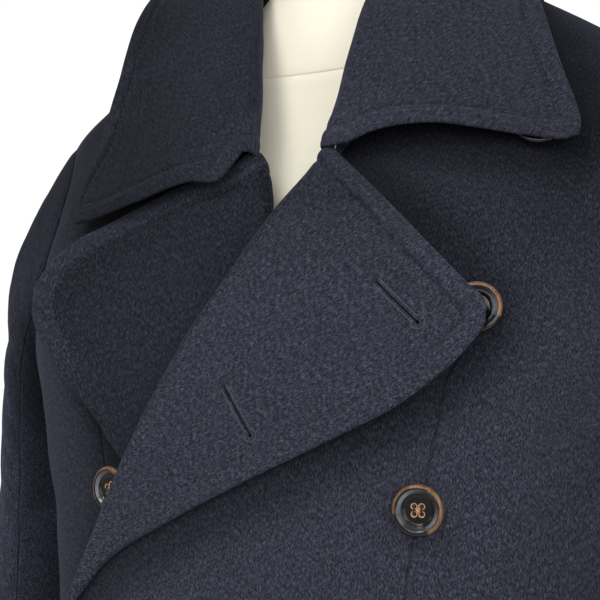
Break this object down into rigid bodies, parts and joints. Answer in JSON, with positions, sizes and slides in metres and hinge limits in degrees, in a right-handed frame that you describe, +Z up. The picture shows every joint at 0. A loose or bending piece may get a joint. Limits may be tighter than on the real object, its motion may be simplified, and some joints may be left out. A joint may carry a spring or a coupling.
{
  "type": "wool overcoat on a dress form with stand",
  "caption": "Double-breasted heavy wool overcoat with a large collar and wide turned-back lapels, filled out by a limbless dress form on a pole with a round base",
  "frame": {"origin": "on the floor under the centre of the whole", "axes": "+Z up, -Y out of the coat's front, +X towards the wearer's left"},
  "size_m": [0.632, 0.4334, 1.64],
  "materials": {
    "wool": "matte napped wool",
    "linen": "matte woven cover",
    "horn": "polished",
    "thread": "matte",
    "wood": "satin varnish",
    "metal": "satin"
  },
  "bodies": {
    "root": {"front_left": "wool", "front_right": "wool", "lapel_left": "wool", "lapel_right": "wool", "collar_leaf": "wool", "collar_stand": "wool", "back_left": "wool", "back_right": "wool", "sleeve_top_left": "wool", "sleeve_top_right": "wool", "sleeve_under_left": "wool", "sleeve_under_right": "wool", "button_left_1": "horn", "button_left_2": "horn", "button_left_3": "horn", "button_left_4": "horn", "button_left_5": "horn", "button_right_3": "horn", "button_right_4": "horn", "button_right_5": "horn", "thread_left_1": "thread", "thread_left_2": "thread", "thread_left_3": "thread", "thread_left_4": "thread", "thread_left_5": "thread", "thread_right_3": "thread", "thread_right_4": "thread", "thread_right_5": "thread", "form_torso": "linen", "form_cap": "wood", "stand_pole": "metal", "stand_base": "metal"}
  },
  "joints": []
}
